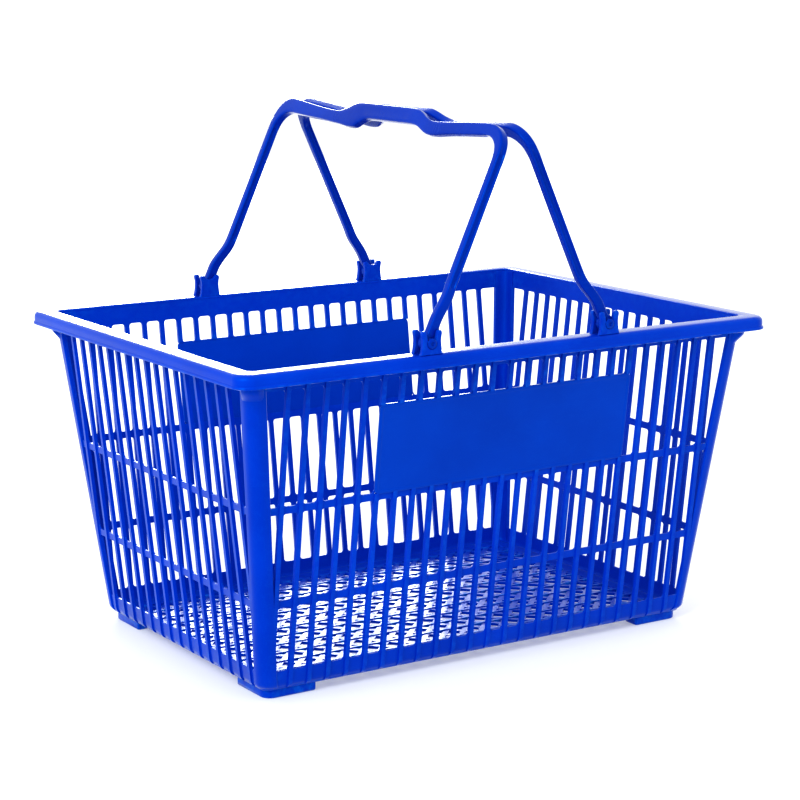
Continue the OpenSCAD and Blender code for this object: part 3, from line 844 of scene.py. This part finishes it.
# %% [markdown]
# ## The bail handles
#
# A handle is a bail: two legs with a knee above the pin, rounded corners, a bar, and a raised
# grip with sloping shoulders. A curve with a bevel would have one section all the way, but a
# handle is deeper at its grip than at its legs. So it is drawn by two lines in its own plane,
# an outer and an inner one, and at each step the section spans from one line to the other. The
# legs are channelled on their outer and inner faces, and a fine crease runs along the grip.

# %% Handle lines and section
LEG_HALF, BAR_HALF = 3.5, 3.25                # half the thickness of a leg's foot and of the bar
LEG_SET = 4.0                                 # how far the upper leg stands in from the pins
HALF_GAP = 0.25                               # half the gap between the two grips
# Half a handle as (distance from the middle along the pins' axis, distance from that axis).
OUTER_LINE = np.array([
    (0, 157), (14, 157), (28, 157), (38, 156.7), (44, 155.2), (52, 151.8), (60, 149.6), (68, 149.3),
    (84, 150.0), (104, 151.2), (122, 152.0), (132, 151.9), (139, 150.0), (145, 146.0), (149, 140.0),
    (150.7, 132), (150.8, 122), (150.8, 100), (150.8, 80), (150.8, 60), (150.9, 42), (151.6, 34),
    (153.0, 25), (153.8, 17), (153.9, 10), (153.9, 0)], float)
INNER_LINE = np.array([
    (0, 145.6), (12, 145.6), (22, 145.2), (29, 142.4), (36, 138.8), (45, 138.2), (55, 139.2), (66, 140.0),
    (84, 141.3), (103, 142.3), (119, 143.2), (127, 143.6), (133, 142.9), (138.5, 140.2), (142.6, 135.8),
    (144.6, 129), (144.8, 120), (144.8, 100), (144.8, 80), (144.8, 60), (144.9, 42), (145.7, 34),
    (147.2, 25), (148.2, 17), (148.3, 10), (148.3, 0)], float)
# Towards the front, the grip's underside steps down further out.
GRIP_FRONT = np.array([
    (0, 145.6), (14, 145.6), (28, 145.6), (38, 145.2), (45, 144.0), (52, 141.4), (59, 139.4), (68, 139.4),
    (84, 141.0)], float)
INNER_FRONT = np.concatenate([GRIP_FRONT, INNER_LINE[len(GRIP_FRONT):]])
# At the back the outer line climbs a little towards the corner.
CLIMB = np.array([0, 0, 0, 0, 0, 0, 0, 0, 0.3, 1.0, 2.0, 2.7, 3.0, 2.4, 1.2, 0.4])
OUTER_BACK = OUTER_LINE.copy()
OUTER_BACK[:len(CLIMB), 1] += CLIMB


def smooth_line(points, count):
    """A Catmull-Rom line through points: on each span a cubic of the four nearest points."""
    padded = np.concatenate([[2 * points[0] - points[1]], points, [2 * points[-1] - points[-2]]])
    s = np.linspace(0, len(points) - 1, count)
    k = np.clip(s.astype(int), 0, len(points) - 2)
    t = (s - k)[:, None]
    p0, p1, p2, p3 = (padded[k + i] for i in range(4))
    return 0.5 * (2 * p1 + (p2 - p0) * t + (2 * p0 - 5 * p1 + 4 * p2 - p3) * t ** 2
                  + (3 * p1 - p0 - 3 * p2 + p3) * t ** 3)


def superellipse(around, power=0.36):
    """A section from -1 to 1 each way: sign(cos t) |cos t|^power, and the same with sin t."""
    t = np.linspace(0, 2 * np.pi, around, endpoint=False) + np.pi / around
    return (np.sign(np.cos(t)) * np.abs(np.cos(t)) ** power,
            np.sign(np.sin(t)) * np.abs(np.sin(t)) ** power)


def bail_sweep(steps=150, around=36):
    """The section at each step: centre + half thickness * across + half height * along, with a
    1.7 mm channel pressed into the outer and inner faces of the legs, as exp(-(across / 0.5)^6),
    and a crease that narrows the grip by a tenth where along is near -0.38."""
    outer = np.concatenate([smooth_line(OUTER_LINE, steps)[:0:-1] * [-1, 1],
                            smooth_line(OUTER_BACK, steps)])
    inner = np.concatenate([smooth_line(INNER_FRONT, steps)[:0:-1] * [-1, 1],
                            smooth_line(INNER_LINE, steps)])
    middle, half = (outer + inner) / 2, (outer - inner) / 2
    radius = middle[:, 1]
    set_in = LEG_SET * ease(radius, 14, 37)
    half_thick = LEG_HALF + (BAR_HALF - LEG_HALF) * ease(radius, 28, 42)
    across, along = superellipse(around)
    on_leg = (1 - ease(radius, 128, 138)) * ease(radius, 34, 44)
    channel = np.exp(-(across / 0.5) ** 6)[None, :] * on_leg[:, None]
    high = along[None, :] * (1 - channel * 1.7 / np.linalg.norm(half, axis=1)[:, None])
    on_grip = ease(-np.abs(middle[:, 0]), -34, -26)
    crease = np.exp(-((along + 0.38) / 0.12) ** 2)[None, :] * on_grip[:, None]
    wide = across[None, :] * (1 - 0.10 * crease)
    points = np.stack([
        set_in[:, None] + half_thick[:, None] * wide,
        middle[:, :1] + half[:, :1] * high,
        middle[:, 1:] + half[:, 1:] * high], -1)
    return points.reshape(-1, 3), tube_faces(len(middle), around)


def turned(profile, around=40):
    """A profile of (distance along y, radius) turned round the pins' axis, with flat ends."""
    t = np.linspace(0, 2 * np.pi, around, endpoint=False)
    y, r = profile.T
    points = np.stack([r[:, None] * np.cos(t), np.broadcast_to(y[:, None], (len(y), around)),
                       r[:, None] * np.sin(t)], -1)
    return points.reshape(-1, 3), tube_faces(len(y), around)


LEG_OUT = LUG_IN - 0.3                        # outer face of the eye, just clear of the lug
PIN_END = corner_mm("left_handle", 1)[1]
eye_profile = np.array([
    (LEG_OUT - 5.6, 5.2), (LEG_OUT - 5.2, 5.8), (LEG_OUT - 4.8, 6.0), (LEG_OUT - 0.7, 6.0),
    (LEG_OUT - 0.25, 5.75), (LEG_OUT, 5.2)])
pin_profile = np.array([
    (LEG_OUT - 1.5, PIN_R), (PIN_END - 0.8, PIN_R), (PIN_END - 0.2, PIN_R - 0.5),
    (PIN_END, PIN_R - 1.0), (PIN_END, 1.4), (PIN_END - 0.7, 1.0)])


def handle_shell():
    """The right handle, drawn upright and then leaned about its pins to its rest place. The
    lean is the angle that brings the grip's inner face to HALF_GAP from the middle."""
    parts = [bail_sweep()]
    for side in (-1, 1):
        for profile in (eye_profile, pin_profile):
            points, faces = turned(profile)
            parts.append((points * [1, side, 1], faces if side > 0 else [f[::-1] for f in faces]))
    points, faces = join_shells(parts)
    points = points * [-1, 1, 1]
    grip_top = OUTER_LINE[0, 1]
    face = LEG_SET + BAR_HALF
    lean = math.asin((LUG_X - HALF_GAP) / math.hypot(grip_top, face)) - math.atan(face / grip_top)
    c, s = math.cos(lean), math.sin(lean)
    x = points[:, 0] * c - points[:, 2] * s
    z = points[:, 0] * s + points[:, 2] * c
    print(f"  lean {math.degrees(lean):.2f} degrees, top {z.max() + RIM_Z + PIN_H:.1f} mm")
    return np.stack([x + LUG_X, points[:, 1], z + RIM_Z + PIN_H], -1), faces


right_shell = handle_shell()
for side, sign in (("right", 1), ("left", -1)):
    bail = make_piece(f"{side}_bail", (right_shell[0] * [sign, 1, 1], right_shell[1]),
                      handle_blue, f"{side}_handle", [f"{side}_handle"])
    count_faces(bail)

# %% [markdown]
# ## Stage and light
#
# The setting is a plain pale floor with large soft lights, so the gloss shows as long, soft
# streaks on the rim. A brighter lamp would blow out the blue before the floor turned white. So
# the floor gives off a little light of its own, which also keeps its shadows faint.

# %% Floor and lights
bpy.context.scene.view_settings.view_transform = "Standard"
bpy.context.scene.view_settings.look = "High Contrast"

HALF_STAGE = 40.0                             # metres: far enough to hide the horizon
ground = bpy.data.meshes.new("studio_floor")
ground.from_pydata([(-HALF_STAGE, -HALF_STAGE, 0), (HALF_STAGE, -HALF_STAGE, 0),
                    (HALF_STAGE, HALF_STAGE, 0), (-HALF_STAGE, HALF_STAGE, 0)], [], [(0, 1, 2, 3)])
floor_plane = bpy.data.objects.new("studio_floor", ground)
bpy.context.scene.collection.objects.link(floor_plane)
pale = bpy.data.materials.new("studio_white")
pale.use_nodes = True
pale_shader = next(n for n in pale.node_tree.nodes if n.type == "BSDF_PRINCIPLED")
pale_shader.inputs["Base Color"].default_value = (0.62, 0.62, 0.62, 1)
pale_shader.inputs["Emission Color"].default_value = (1, 1, 1, 1)
pale_shader.inputs["Emission Strength"].default_value = 0.25
pale_shader.inputs["Roughness"].default_value = 0.9
ground.materials.append(pale)

world = bpy.data.worlds.new("studio")
bpy.context.scene.world = world
world.use_nodes = True
surround = world.node_tree.nodes["Background"]
surround.inputs["Color"].default_value = (0.98, 0.99, 1.0, 1)
surround.inputs["Strength"].default_value = 0.78


def soft_light(name, place, target, size_m, watts, colour=(1, 1, 1)):
    """A square area light at place, aimed at target, that the camera doesn't see."""
    lamp = bpy.data.lights.new(name, "AREA")
    lamp.energy, lamp.size, lamp.color = watts, size_m, colour
    holder = bpy.data.objects.new(name, lamp)
    bpy.context.scene.collection.objects.link(holder)
    holder.location = place
    holder.visible_camera = False
    aim = Vector(np.array(target) - np.array(place))
    holder.rotation_euler = aim.to_track_quat("-Z", "Y").to_euler()


soft_light("key", (-2.2, -1.2, 1.7), (0, 0, 0.15), 1.2, 34, (0.9, 0.97, 1.0))
soft_light("back", (1.45, 3.2, 1.0), (0, 0, 0.2), 1.3, 40)

# %% [markdown]
# ## The camera
#
# The camera stands to the left of the front, low and well back, with a long lens. From closer
# by, a wide lens would spread the walls and hide how evenly they lean. It is placed by its
# position and three angles, not by a target, so nothing else can turn it.

# %% Camera
CAMERA_AT = (-0.8858, -1.3787, 0.4897)
YAW, PITCH_DOWN, ROLL = math.radians(32.37), math.radians(11.24), math.radians(0.17)
camera_data = bpy.data.cameras.new("camera")
camera_data.sensor_width = 36.0
camera_data.lens = 103.626
camera_data.shift_x = 0.024875
camera_data.clip_end = 50.0
camera = bpy.data.objects.new("camera", camera_data)
bpy.context.scene.collection.objects.link(camera)
camera.location = CAMERA_AT
camera.rotation_euler = (math.pi / 2 - PITCH_DOWN, ROLL, -YAW)
bpy.context.scene.camera = camera
print("camera lens", round(camera_data.lens, 1), "mm")
